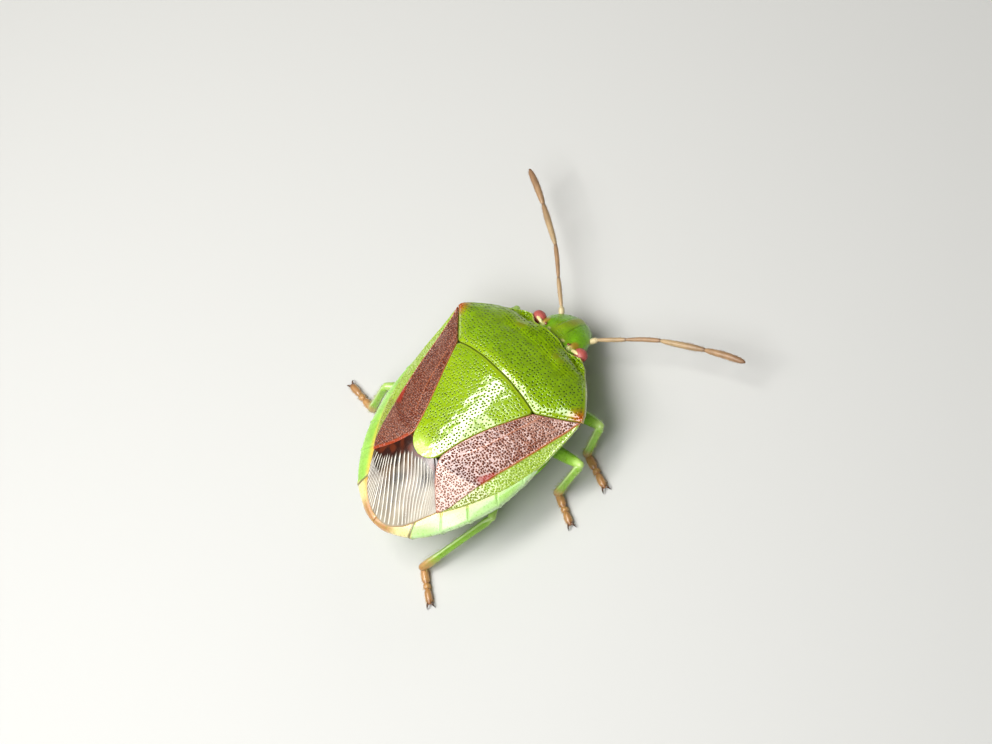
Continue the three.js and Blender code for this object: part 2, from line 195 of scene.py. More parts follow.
def make_mesh(name, verts, quads, masks, material, tris=None):
    """Object from arrays of points in the bug's frame and of corners, with one mask a point."""
    verts = np.asarray(verts, float) * MM + ORIGIN
    quads = np.asarray(quads, int).reshape(-1, 4)
    tris = np.zeros((0, 3), int) if tris is None else np.asarray(tris, int).reshape(-1, 3)
    mesh = bpy.data.meshes.new(name)
    mesh.vertices.add(len(verts))
    mesh.vertices.foreach_set("co", verts.astype(np.float32).ravel())
    corners = np.concatenate([quads.ravel(), tris.ravel()])
    mesh.loops.add(len(corners))
    mesh.loops.foreach_set("vertex_index", corners.astype(np.int32))
    starts = np.concatenate([np.arange(len(quads)) * 4, len(quads) * 4 + np.arange(len(tris)) * 3])
    mesh.polygons.add(len(quads) + len(tris))
    mesh.polygons.foreach_set("loop_start", starts.astype(np.int32))
    mesh.polygons.foreach_set("use_smooth", np.ones(len(starts), bool))
    for key, value in masks.items():
        layer = mesh.attributes.new(key, "FLOAT", "POINT")
        layer.data.foreach_set("value", np.asarray(value, np.float32).ravel())
    mesh.update(calc_edges=True)
    mesh.validate()
    mesh.materials.append(material)
    return link(bpy.data.objects.new(name, mesh))


def grid_faces(nu, nv, start=0, flip=False, wrap=False):
    """Corners of a grid whose points run along u first."""
    i, j = np.meshgrid(np.arange(nu if wrap else nu - 1), np.arange(nv - 1))
    i, j = i.ravel(), j.ravel()
    k = (i + 1) % nu
    quads = np.stack([j * nu + i, j * nu + k, (j + 1) * nu + k, (j + 1) * nu + i], 1)
    return (quads[:, ::-1] if flip else quads) + start


def shell_faces(nu, nv, flip):
    """Corners of a closed shell: a grid of points, the same grid again, and the four walls between."""
    count, k, last = nu * nv, nu - 1, (nv - 1) * nu
    i, j = np.arange(nu - 1), np.arange(nv - 1)

    def wall(a, b):
        return np.stack([a, b, count + b, count + a], 1)

    quads = np.concatenate([
        grid_faces(nu, nv), grid_faces(nu, nv, count, flip=True),
        wall(i, i + 1)[:, ::-1], wall(last + i, last + i + 1),
        wall(j * nu, (j + 1) * nu), wall(j * nu + k, (j + 1) * nu + k)[:, ::-1],
    ])
    return quads[:, ::-1] if flip else quads


def shell(name, x, y, first, second, masks, material, flip=False):
    """Closed piece between two heights over one plan, with the same masks on both."""
    masks = {key: np.concatenate([clamp(value).ravel()] * 2) for key, value in masks.items()}
    verts = np.concatenate([spread(x, y, first), spread(x, y, second)])
    return make_mesh(name, verts, shell_faces(x.shape[1], x.shape[0], flip), masks, material)


def rim_drop(distance, radius):
    """How far a rounded edge has fallen at a distance inside the outline."""
    inside = np.clip(distance, 0, radius)
    return radius - np.sqrt(np.maximum(radius ** 2 - (radius - inside) ** 2, 0))


def plate(name, plan, top, nu, nv, material, rim, skirt=0.22, lip=0.25, v_of=None, flip=False):
    """Thin plate with a rounded rim that turns down and in under itself.

    plan takes u and v to x and y, and top takes x, y, u, v and the distance to the rim to z and
    its masks.
    """
    u, v = np.meshgrid(np.linspace(0, 1, nu), np.linspace(0, 1, nv))
    if v_of is not None:
        v = v_of(v)
    x, y = plan(u, v)
    loop = np.concatenate([
        np.arange(nu), np.arange(1, nv) * nu + nu - 1,
        (nv - 1) * nu + np.arange(nu - 2, -1, -1), np.arange(nv - 2, 0, -1) * nu,
    ])
    ring = np.stack([x.ravel()[loop], y.ravel()[loop]], 1)
    step_u = np.hypot(np.gradient(x, axis=1), np.gradient(y, axis=1))
    step_v = np.hypot(np.gradient(x, axis=0), np.gradient(y, axis=0))
    run_u = np.cumsum(step_u, axis=1) - step_u[:, :1]
    run_v = np.cumsum(step_v, axis=0) - step_v[:1]
    distance = np.minimum(
        np.minimum(run_u, run_u[:, -1:] - run_u), np.minimum(run_v, run_v[-1:] - run_v),
    ).clip(0)
    z, found = top(x, y, u, v, distance)
    z = z - rim_drop(distance, rim)
    points = spread(x, y, z)
    span = np.roll(ring, -2, 0) - np.roll(ring, 2, 0)
    length = np.maximum(np.hypot(span[:, 0], span[:, 1]), 1e-9)
    inward = np.stack([-span[:, 1], span[:, 0]], 1) / length[:, None]
    middle = ring.mean(0)
    if ((middle - ring) * inward).sum() < 0:
        inward = -inward
    rows = []
    turns = ((0.0, 0.35 * skirt), (0.1 * lip, 0.8 * skirt), (0.35 * lip, skirt), (lip, 0.85 * skirt))
    for inset, fall in turns:
        at = points[loop].copy()
        at[:, :2] += inward * inset
        at[:, 2] -= fall
        rows.append(at)
    count = len(loop)
    total = len(points)
    quads = [grid_faces(nu, nv)]
    previous = loop
    for k in range(len(rows)):
        current = total + k * count + np.arange(count)
        quads.append(np.stack([np.roll(previous, -1), previous, current, np.roll(current, -1)], 1))
        previous = current
    points = np.concatenate([points] + rows)
    quads = np.concatenate(quads)
    if flip:
        quads = quads[:, ::-1]
    full = {}
    for key, value in found.items():
        value = np.broadcast_to(value, x.shape).ravel()
        full[key] = np.concatenate([value] + [value[loop]] * len(rows))
    return make_mesh(name, points, quads, full, material)


def tube(points, radii, sides, squash, steps):
    """Round limb along a smooth line, rounded off at both ends.

    Gives its points and corners, and for each point its place from 0 to 1 and its turn.
    """
    line = even_curve(points)
    radius = profile(radii)
    s = np.linspace(0, 1, steps)
    centre = line(s)
    r = radius(s)
    along = unit(np.gradient(centre, axis=0))
    side = unit(np.cross(along, [0, 0, 1.0]))
    top = np.cross(side, along)
    angle = np.linspace(0, 2 * np.pi, sides, endpoint=False)
    cos, sin = np.cos(angle)[:, None], np.sin(angle)[:, None]
    caps = np.arange(1, CAP_RINGS + 1) / CAP_RINGS * np.pi / 2
    rings = []
    for bend in caps[::-1]:
        rings.append((centre[0] - along[0] * r[0] * np.sin(bend) * 0.9, 0, r[0] * np.cos(bend), 0.0))
    for k in range(steps):
        rings.append((centre[k], k, r[k], s[k]))
    for bend in caps:
        rings.append((centre[-1] + along[-1] * r[-1] * np.sin(bend) * 0.9, -1, r[-1] * np.cos(bend), 1.0))
    verts = [
        at + max(size, 1e-4) * (cos * side[k] * squash[0] + sin * top[k] * squash[1])
        for at, k, size, _ in rings
    ]
    place = np.repeat([ring[-1] for ring in rings], sides)
    return np.concatenate(verts), grid_faces(sides, len(rings), wrap=True), place, np.tile(angle, len(rings))


class Bundle:
    """Meshes gathered into one object."""

    def __init__(self):
        self.verts, self.quads, self.tris, self.masks, self.count = [], [], [], {}, 0

    def add(self, verts, quads=None, tris=None, **masks):
        verts = np.asarray(verts, float)
        if quads is not None:
            self.quads.append(np.asarray(quads) + self.count)
        if tris is not None:
            self.tris.append(np.asarray(tris) + self.count)
        for key in set(self.masks) | set(masks):
            kept = self.masks.setdefault(key, [np.zeros(self.count)] if self.count else [])
            kept.append(np.broadcast_to(masks.get(key, 0.0), (len(verts),)).astype(float))
        self.verts.append(verts)
        self.count += len(verts)

    def build(self, name, material):
        quads = np.concatenate(self.quads) if self.quads else np.zeros((0, 4), int)
        tris = np.concatenate(self.tris) if self.tris else None
        masks = {key: np.concatenate(value) for key, value in self.masks.items()}
        return make_mesh(name, np.concatenate(self.verts), quads, masks, material, tris)


def hairs(roots, ways, length, seed):
    """Fine bristles as slender three-sided cones."""
    ways = unit(ways)
    rng = np.random.default_rng(seed)
    size = length * rng.uniform(0.7, 1.2, len(roots))[:, None]
    side = unit(np.cross(ways, [0.31, 0.17, 0.93]))
    top = np.cross(ways, side)
    verts, n = [], len(roots)
    for share, part in ((1.0, 0.0), (0.6, 0.55)):
        for k in range(3):
            a = k * 2 * np.pi / 3
            out = np.cos(a) * side + np.sin(a) * top
            verts.append(roots + ways * size * part + out * HAIR_RADIUS * share)
    verts.append(roots + ways * size)
    i = np.arange(n)
    quads, tris = [], []
    for k in range(3):
        m = (k + 1) % 3
        quads.append(np.stack([k * n + i, m * n + i, (3 + m) * n + i, (3 + k) * n + i], 1))
        tris.append(np.stack([(3 + k) * n + i, (3 + m) * n + i, 6 * n + i], 1))
    return np.concatenate(verts), np.concatenate(quads), np.concatenate(tris)


# Materials
def linear(code):
    rgb = [int(code[k:k + 2], 16) / 255 for k in (1, 3, 5)]
    return tuple(c / 12.92 if c < 0.04045 else ((c + 0.055) / 1.055) ** 2.4 for c in rgb) + (1.0,)


NOISE_SIZE = 0.35  # of the changes in each base colour


def material(name, base, layers=(), *, rough, coat, coat_rough=0.12, vary=0.18, grain=0.05,
             grain_depth=0.007, rough_layers=(), specular=0.5, matt=None):
    """Procedural finish: a base colour, varied by noise, with one colour laid over it by each mask.

    The mask named by matt takes the gloss away.
    """
    mat = bpy.data.materials.new(name)
    mat.use_nodes = True
    tree = mat.node_tree
    shader = tree.nodes["Principled BSDF"]
    coords = tree.nodes.new("ShaderNodeTexCoord").outputs["Object"]

    def added(kind, **values):
        node = tree.nodes.new("ShaderNode" + kind)
        for key, value in values.items():
            node.inputs[key.replace("_", " ")].default_value = value
        return node

    def noise(size, detail=3.0):
        node = added("TexNoise", Scale=1 / (size * MM), Detail=detail)
        tree.links.new(coords, node.inputs["Vector"])
        return node.outputs["Fac"]

    def ranged(value, low, high, to_low=0.0, to_high=1.0):
        node = added("MapRange", From_Min=low, From_Max=high, To_Min=to_low, To_Max=to_high)
        tree.links.new(value, node.inputs["Value"])
        return node.outputs["Result"]

    def blended(factor, a, b):
        node = added("Mix")
        node.data_type = "RGBA"
        tree.links.new(factor, node.inputs["Factor"])
        for socket, value in ((node.inputs[6], a), (node.inputs[7], b)):
            if isinstance(value, tuple):
                socket.default_value = value
            else:
                tree.links.new(value, socket)
        return node.outputs[2]

    def masked(key):
        node = added("Attribute")
        node.attribute_type = "GEOMETRY"
        node.attribute_name = key
        return node.outputs["Fac"]

    tone = linear(base)
    dark = tuple(c * (1 - vary) for c in tone[:3]) + (1.0,)
    light = tuple(min(c * (1 + vary), 1.0) for c in tone[:3]) + (1.0,)
    colour = blended(ranged(noise(NOISE_SIZE), 0.3, 0.7), dark, light)
    for key, code in layers:
        colour = blended(masked(key), colour, linear(code))
    tree.links.new(colour, shader.inputs["Base Color"])
    value = ranged(noise(NOISE_SIZE * 0.6), 0.3, 0.7, rough - 0.05, rough + 0.05)
    for key, level in rough_layers:
        node = added("Mix")
        node.data_type = "FLOAT"
        tree.links.new(masked(key), node.inputs["Factor"])
        tree.links.new(value, node.inputs[2])
        node.inputs[3].default_value = level
        value = node.outputs[0]
    tree.links.new(value, shader.inputs["Roughness"])
    shader.inputs["Specular IOR Level"].default_value = specular
    shader.inputs["Coat Weight"].default_value = coat
    shader.inputs["Coat Roughness"].default_value = coat_rough
    if matt:
        gloss = ranged(masked(matt), 0.0, 0.7, 1.0, 0.05)
        for socket, full in (("Coat Weight", coat), ("Specular IOR Level", specular)):
            node = added("Math")
            node.operation = "MULTIPLY"
            node.inputs[1].default_value = full
            tree.links.new(gloss, node.inputs[0])
            tree.links.new(node.outputs[0], shader.inputs[socket])
    if grain_depth:
        bump = added("Bump", Strength=0.6, Distance=grain_depth * MM)
        tree.links.new(noise(grain, 2.0), bump.inputs["Height"])
        tree.links.new(bump.outputs["Normal"], shader.inputs["Normal"])
    return mat


# the dark layer is painted shade: in the grooves of the shield's wrinkles and in the gap at the plate's basal
# corners
SHIELD = material(
    "shield_cuticle", "#82AA00",
    [("yellow", "#AECB0C"), ("pale", "#CDEB5C"), ("blush", "#BC4E12"), ("callus", "#8C8414"),
     ("rimline", "#98A434"), ("cream", "#E8DC90"), ("dark", "#1E3404"), ("pit", "#122004")],
    rough=0.14, coat=1.0, coat_rough=0.06, specular=1.0, rough_layers=[("pit", 0.5)],
    grain_depth=0.0016, matt="hole")
# on the wings the pale pink layer is partly painted glare, and the brick layer is partly painted shade
CORIUM = material(
    "corium_cuticle", "#84422A",
    [("pinkish", "#D8AE9C"), ("green", "#A8C83A"), ("line", "#3E120C"), ("brick", "#6E280A"),
     ("fleck", "#D69A80"), ("greenfleck", "#DCEFA4"), ("pit", "#2E0C06"), ("greenpit", "#2C4A12"),
     ("orange", "#C4682E"), ("red", "#A62410")],
    rough=0.17, coat=1.0, coat_rough=0.09, specular=1.0, rough_layers=[("hole", 0.5)],
    grain_depth=0.0025, matt="hole")
# the membrane's pale layer is a painted reflection of the lamps, laid over the film
MEMBRANE = material(
    "membrane_film", "#33291A",
    [("amber", "#6E4A20"), ("base_brown", "#33140A"), ("rusty", "#6A2C12"), ("glassy", "#BDB29C"),
     ("vein", "#FFF8E8"), ("edge", "#B99A6C")],
    rough=0.22, coat=0.5, coat_rough=0.14, vary=0.3, specular=0.7, rough_layers=[("vein", 0.25)],
    grain_depth=0.003)
# the connexivum's pale mint layer is partly painted glare on the near side
CONNEXIVUM = material(
    "connexivum_cuticle", "#92CE22",
    [("mint", "#D2F8B0"), ("tail", "#F6E6A2"), ("inner", "#F0C452"), ("orange", "#E08A30"),
     ("rust", "#B4703E"), ("seam", "#5C9422"), ("suture", "#38301A"), ("pit", "#74B42A")],
    rough=0.26, coat=0.8, coat_rough=0.14, specular=0.8, grain_depth=0.002)
UNDERSIDE = material(
    "underside_cuticle", "#A7CF63",
    [("pale", "#D5E3A0"), ("suture", "#6C8E3A"), ("brown", "#A8703A"), ("dark", "#2A2018"),
     ("pit", "#6F9A38")],
    rough=0.38, coat=0.3)
# the head's dark layer is partly a painted shadow beside each ocellus
HEAD = material(
    "head_cuticle", "#76B012",
    [("midline", "#939418"), ("orange", "#9A7A16"), ("cream", "#F2E6A0"), ("pit", "#2C5A14"),
     ("dark", "#3A2C0E"), ("reddish", "#C0702C")],
    rough=0.3, coat=0.5, specular=0.6, rough_layers=[("pit", 0.5)], grain_depth=0.004)
EYE = material(
    "eye_facets", "#B84E46", [("facet", "#7A2420"), ("shine", "#D07C70")], rough=0.4, coat=0.3, grain_depth=0)
OCELLUS = material("ocellus", "#8A3A1C", rough=0.12, coat=1.0, coat_rough=0.04, grain_depth=0)
ANTENNA = material(
    "antenna_cuticle", "#B08C66", [("cream", "#E6D6A4"), ("dusk", "#8A6247"), ("joint", "#5E3F2A")],
    rough=0.42, coat=0.15, grain=0.04, grain_depth=0.006)
# the pale and keel layers are partly painted highlight on the tops of the thighs and shins
LEG = material(
    "leg_cuticle", "#86BC22",
    [("pale", "#CDE68C"), ("keel", "#D8E8AC"), ("amber", "#CC9660"), ("brown", "#94603A"),
     ("pit", "#4F8420")],
    rough=0.3, coat=0.5, coat_rough=0.15, specular=0.6)
CLAW = material("claw_horn", "#5B3A22", [("tip", "#20120B")], rough=0.25, coat=0.5, grain_depth=0)


def keep(ob, slot, *nodes):
    """Settles a piece on the body and hides the solids that it stands for; slot is not used."""
    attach(ob, "root")
    if nodes:
        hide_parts(*nodes)
    return ob


# Shield across the shoulders
pronotum_rear = profile([
    (0, -0.85), (0.2, -0.87), (0.4, -0.97), (0.54, -1.09), (0.607, -1.15), (0.67, -1.0), (0.8, -0.63),
    (0.92, -0.28), (1, -0.05),
])
pronotum_side = profile([(0, 4.12), (0.174, 3.92), (0.549, 3.08), (0.769, 2.42), (0.908, 2.04), (1, 1.6)])
pronotum_front = profile([(0, 1.86), (0.28, 1.84), (0.5, 1.73), (0.7, 1.71), (0.88, 1.83), (1, 1.9)])


def pronotum_plan(u, v):
    side = 2 * u - 1
    return side * pronotum_side(v), mix(pronotum_rear(np.abs(side)), pronotum_front(np.abs(side)), v)


def pronotum_top(x, y, u, v, distance):
    side = np.abs(2 * u - 1)
    ax = np.abs(x)
    z = back_height(x, y) + 0.05
    fore = step(0.55, 0.75, v)
    bend = y + 0.05 * waves(x, y, 0.7, 31)
    pit = pits(x, bend, 0.15, 0.037, 3, keep=0.97, jitter=0.55, rows=0.2) * (1 - fore)
    pit = np.maximum(pit, pits(x * 0.8, bend * 1.25, 0.13, 0.034, 5, keep=0.88, rows=0.6) * fore)
    calm = bell(ax, 1.2, 0.6) * bell(v, 0.82, 0.12)
    pit = pit * (1 - step(0.3, 0.8, calm)) * step(0.03, 0.07, distance)
    wrinkle = fore * (0.5 + 0.5 * np.sin(bend * 46 + 2 * waves(x, y, 0.5, 8))) * (1 - calm)
    rear = y - pronotum_rear(side)
    z = z - PIT_DEPTH * pit + 0.025 * calm - 0.008 * wrinkle - 0.1 * (1 - clamp(rear / 0.6)) ** 2
    z = z + 0.007 * waves(x, y, 0.24, 41) + 0.01 * waves(x, y, 0.7, 42) + 0.002 * waves(x, y, 0.1, 46)
    z = z - 0.015 * (1 - step(0.02, 0.06, np.abs(distance - 0.09)))
    # a shallow dip between the raised rear half and the front
    z = z - 0.05 * bell(v, 0.66, 0.12) * (1 - ax / 4)
    blush = step(0.8, 0.12, np.hypot(ax - 4.08, (y + 0.05) * 1.1))
    return z, {
        "pit": pit * (1 - 0.5 * blush),
        "hole": clamp(pit + 0.45 * fore * (1 - calm)),
        "cream": 0.5 * step(0.07, 0.03, distance) * step(0.95, 0.985, v) * step(0.5, 0.75, side),
        "yellow": 0.5 * step(0.25, 0.02, v)
        + 0.3 * clamp(0.4 + 0.6 * waves(x, y, 0.8, 9)) * (0.3 + 0.7 * fore),
        "pale": 0.25 * step(0.1, 0.03, distance) * step(0.3, 0.5, v),
        "blush": 0.95 * blush,
        "callus": 0.6 * calm * step(0.3, 0.9, np.abs(waves(x, y, 0.35, 4)) + 0.4),
        "rimline": 0.5 * step(0.06, 0.02, distance),
        # painted shade in the wrinkle grooves
        "dark": 0.3 * wrinkle,
    }


pronotum = plate("pronotum_plate", pronotum_plan, pronotum_top, 530, 172, SHIELD, rim=0.07)
keep(pronotum, "shield", "pronotum")

# Triangular plate with its round tongue
SCUTELLUM_TIP = -5.78
scutellum_side = profile([
    (-0.85, 2.62), (-1.15, 2.5), (-2, 2.1), (-3, 1.62), (-4, 1.2), (-4.85, 0.93), (-5.3, 0.78),
    (-5.55, 0.58), (-5.7, 0.33), (-5.78, 0.0),
])


def scutellum_base(side):
    return pronotum_rear(np.abs(side) * SCUTELLUM_SHARE) - 0.03


def scutellum_plan(u, v):
    side = 2 * u - 1
    base = scutellum_base(side)
    y = mix(base, SCUTELLUM_TIP, v)
    flat = mix(np.full_like(y, -1.18), SCUTELLUM_TIP, v)
    return side * scutellum_side(flat), y


def scutellum_top(x, y, u, v, distance):
    ax = np.abs(x)
    z = back_height(x, y)
    tip = step(-4.75, -5.35, y)
    base = scutellum_base(2 * u - 1) - y
    pit = pits(x, y, 0.146, 0.033, 21, keep=0.97, jitter=0.5)
    pit = pit * step(0.015, 0.05, distance) * step(0.07, 0.12, base) * (1 - 0.85 * tip)
    z = z - PIT_DEPTH * pit + 0.04 * step(-4.6, -5.3, y)
    z = z + 0.03 * step(-1.9, -1.2, y) * (1 - step(0, 2.4, ax)) - 0.05 * step(0.16, 0.02, base)
    z = z + 0.002 * waves(x, y, 0.1, 47) + 0.007 * waves(x, y, 0.24, 43)
    z = z + 0.012 * waves(x, y, 0.6, 44) * step(0, 1.2, x)
    # the plate's basal corner sinks and is painted dark: a painted shadow of the gap between the plate, the
    # shield and the wing
    corner = step(0.15, 0.1, (2.52 - ax) * 0.88 + (-1.17 - y) * 0.476)
    return z - 0.12 * corner, {
        "pit": pit * (1 - 0.3 * tip) * (1 - corner),
        "hole": clamp(pit + corner),
        "yellow": 0.2 + 0.35 * clamp(0.5 + 0.5 * waves(x, y, 1.1, 12))
        + 0.4 * step(0.16, 0.08, base) * (1 - corner),
        "pale": 0.35 * tip * step(0.7, 0.2, ax) + 0.4 * tip,
        "rimline": 0.4 * step(0.05, 0.02, distance) * (1 - tip),
        "dark": corner,
    }


scutellum = plate(
    "scutellum_plate", scutellum_plan, scutellum_top, 330, 320, SHIELD, rim=0.05,
    v_of=lambda v: 1 - (1 - v) ** 1.35, flip=True)
keep(scutellum, "shield", "scutellum")


# Leathery fore wings
corium_inner = even_curve([
    (2.53, -1.2), (2.12, -2.0), (1.64, -3.0), (1.22, -4.0), (0.95, -4.85), (0.9, -5.3), (1.1, -5.8),
    (1.5, -6.35), (2.1, -7.0),
])
corium_outer = even_curve([
    (4.06, -0.12), (4.08, -0.5), (4.05, -1.5), (4.0, -2.57), (3.82, -3.6), (3.57, -4.49), (3.05, -5.69),
    (2.6, -6.45), (2.18, -7.03),
])


def corium_plan(side):
    def plan(u, v):
        at = mix(corium_inner(v), corium_outer(v), u[..., None])
        return side * at[..., 0], at[..., 1]
    return plan


# the inner side of the green margin, the rear side of the brown field, and the groove near the plate
corium_line = profile([
    (0, 4.1), (-0.4, 3.98), (-0.8, 3.88), (-1.5, 3.7), (-2.2, 3.54), (-3.3, 3.27), (-4.47, 2.95),
    (-5.2, 2.78), (-6, 2.6), (-6.6, 2.42), (-7, 2.2),
])
border_line = profile([(0.85, -5.28), (1.4, -5.33), (1.85, -5.28), (2.4, -5.13), (2.9, -4.92)])
claval_line = profile([(0, 0.22), (0.25, 0.26), (0.5, 0.24), (0.66, 0.1), (0.75, 0.0), (1, 0.0)])


def corium_top(side):
    def top(x, y, u, v, distance):
        ax = np.abs(x)
        z = back_height(x, y) - 0.02
        across = ax - corium_line(y)
        strip = step(-0.015, 0.015, across)
        wide = np.linalg.norm(corium_outer(v) - corium_inner(v), axis=-1)
        vein = step(0.05, 0.015, np.abs(across)) * step(-4.7, -4.3, y)
        claval = step(0.05, 0.015, np.abs(u - claval_line(v)) * wide) * step(0.62, 0.5, v)
        inner = step(0.07, 0.02, u * wide) * step(0.74, 0.68, v)
        along, off = (ax - 2.95) * 0.36 + (y + 4.5) * 0.93, (ax - 2.95) * 0.93 - (y + 4.5) * 0.36
        beside = np.abs(off + 0.07) - 0.2 * (0.6 - 0.7 * along)
        spot = step(1.0, 0.45, np.abs(along / 0.55)) * step(0.07, -0.06, beside)
        apical = step(0.2, 0.1, u * wide) * step(0.69, 0.72, v)
        rim = step(0.05, 0.02, u * wide)
        pit = pits(x, y, 0.106, 0.035, 31 + int(side), keep=0.97, jitter=0.7) * step(0.03, 0.06, distance)
        pit = pit * (1 - 0.85 * clamp(vein + claval + inner + 0.8 * spot))
        fleck = pits(x, y, 0.085, 0.034, 51 + int(side), keep=0.8) * (1 - pit)
        border = y - border_line(ax)
        beyond = step(0.04, -0.04, border)
        line = step(0.05, 0.02, np.abs(border)) * (1 - strip) * (1 - spot)
        shade = step(0.75, 0.05, border) * (1 - beyond) * step(0.9, 1.7, ax) * (1 - strip)
        # near picks the lit wing: painted glare makes the near wing paler, and painted shade in extra brick
        # red makes the far wing darker
        near = 1.0 if side > 0 else 0.25  # the far wing is darker and less flecked in the photo
        z = z - 0.024 * pit + 0.03 * vein + 0.01 * claval + 0.02 * inner - 0.02 * strip
        z = z + 0.004 * waves(x, y, 0.2, 45)
        # a pinkish tone at random, with painted glare on the near wing over its field beyond the border and
        # towards its front
        pale = 0.12 + 0.2 * waves(x, y, 0.5, 7) + 0.8 * near * beyond + 0.25 * near * step(-3.0, -1.0, y)
        orange = 0.8 * vein + 0.45 * claval + 0.8 * inner + 0.8 * (1.2 - near) * apical + 0.4 * rim
        orange = clamp(orange + 0.5 * step(0.96, 0.99, v)) * (1 - spot)
        red = 0.8 * spot * (1 - 0.45 * pit) + 0.8 * (1.05 - near) * apical + 0.2 * vein
        return z, {
            "pinkish": clamp(pale) * (1 - strip),
            "green": strip * (1 - 0.35 * beyond),
            "line": clamp(0.5 * line + 0.35 * shade),
            "fleck": (0.62 + 0.18 * near) * fleck * (1 - strip) * (1 - 0.5 * shade),
            "greenfleck": (0.2 + 0.6 * near) * fleck * strip,
            # brick red on both wings, with more on the far wing as painted shade
            "brick": (0.95 - 0.8 * near) * (1 - strip),
            "pit": (0.95 - 0.2 * near * beyond) * pit * (1 - strip),
            "greenpit": 0.6 * pit * strip,
            "hole": clamp(pit + 0.4 * spot),
            "orange": orange,
            "red": clamp(red),
        }
    return top


for word, side in SIDES:
    ob = plate(
        "corium_" + word + "_plate", corium_plan(side), corium_top(side), 130, 430, CORIUM,
        rim=0.06, skirt=0.16, lip=0.15, flip=side > 0)
    keep(ob, "corium", "corium_" + word)


# Clear rear parts of the wings, the left one on top
def membrane_lines(side):
    root = curve([
        (-2.12, -7.0), (-1.87, -6.72), (-1.66, -6.4), (-1.42, -6.05), (-0.92, -5.4), (-0.1, -5.35),
        (0.6, -5.4), (1.2, -5.95), (2.1, -6.98),
    ])
    end = curve([
        (-2.08, -7.08), (-1.36, -8.24), (-0.5, -8.88), (0.5, -9.0), (1.2, -8.58), (1.56, -8.1), (1.84, -7.6),
        (2.04, -7.25), (2.14, -7.04),
    ])

    def plan(u, v):
        bow = 0.05 * np.sin(np.pi * v) * np.sin(np.pi * u)
        at = mix(root(u), end(u), v[..., None])
        return -side * (at[..., 0] + bow), at[..., 1]
    return plan


vein_share = profile([
    (0, 0), (0.125, 0.095), (0.25, 0.205), (0.375, 0.33), (0.5, 0.47), (0.625, 0.61), (0.75, 0.745),
    (0.875, 0.875), (1, 1),
])


def membrane_top(drop, veins):
    def top(x, y, u, v, distance):
        z = back_height(x, y) - drop
        place = vein_share(u) * veins + 0.25 * np.sin(5 * v + 3 * u) + 0.3 * waves(x, y, 0.7, 6)
        branch = np.abs(place + 0.5 - np.round(place + 0.5))
        number = np.round(place).astype(int)
        near = np.abs(place - number)
        width = 0.12 + 0.07 * hashed(number, 0 * number, 5)
        ragged = 0.05 * (hashed(number, 0 * number, 15) - 0.5)
        start = step(0.17, 0.24, v + ragged + 0.03 * waves(x, y, 0.35, 2))
        inside = step(0.04, 0.12, distance) * step(0.035, 0.07, u) * step(0.9, 0.82, u)
        branch = step(0.12, 0.04, branch) * step(0.42, 0.52, v + ragged + 0.2 * (u - 0.2))
        branch = branch * step(0.38, 0.22, u)
        vein = np.maximum(step(width, 0.4 * width, near), 0.9 * branch) * start * inside
        z = z + 0.012 * vein - 0.003 * np.cos(2 * np.pi * place) * start * inside
        z = z + 0.05 * np.sin(np.pi * clamp(v)) * np.sin(np.pi * u)
        # a pale painted reflection over the film, stronger towards its rear end
        glassy = 0.8 * step(-0.05, 0.75, v - 0.28 + 0.6 * (u - 0.5)) + 0.22 * waves(x, y, 0.35, 17)
        return z, {
            "base_brown": 1 - start,
            "rusty": np.clip(0.25 + 0.9 * waves(x, y, 0.25, 13), 0, 0.8) * (1 - start),
            "amber": clamp(0.2 + 0.5 * waves(x, y, 0.5, 18)) * start,
            "glassy": np.clip(glassy, 0, 0.85) * start,
            "vein": clamp(vein * (0.9 + 0.2 * waves(x, y, 0.4, 14))),
            "edge": step(0.06, 0.02, distance) * step(0.9, 0.97, v),
        }
    return top


upper = plate(
    "membrane_left_film", membrane_lines(-1), membrane_top(0.05, 27), 560, 150, MEMBRANE,
    rim=0.02, skirt=0.05, lip=0.1)
keep(upper, "membrane", "membrane_left")
lower = plate(
    "membrane_right_film", membrane_lines(1), membrane_top(0.13, 20), 260, 90, MEMBRANE,
    rim=0.02, skirt=0.05, lip=0.1, flip=True)
keep(lower, "membrane", "membrane_right")


# Flat green edge of the abdomen
SUTURES = (-3.55, -4.95, -6.3, -7.45, -8.55)
connexivum_inner = even_curve([
    (3.6, -0.8), (3.72, -1.8), (3.76, -2.7), (3.6, -3.6), (3.2, -4.6), (2.68, -5.7), (2.12, -6.7),
    (1.72, -7.4), (1.36, -8.0), (0.98, -8.45), (0.5, -8.76), (0.0, -8.86),
])
connexivum_outer = even_curve(
    [(float(half_width(y)) - 0.14 * float(step(-3.0, -2.0, y)), y) for y in np.linspace(-0.8, -9.0, 36)]
    + [(0.7, -9.18), (0.35, -9.26), (0.0, -9.28)])


def connexivum_plan(side):
    def plan(u, v):
        inner, outer = connexivum_inner(v), connexivum_outer(v)
        teeth = sum(0.05 * step(0.14, 0.0, np.abs(outer[..., 1] - seam + 0.02)) for seam in SUTURES)
        at = mix(inner, outer + unit(outer - inner) * teeth[..., None], u[..., None])
        return side * at[..., 0], at[..., 1]
    return plan


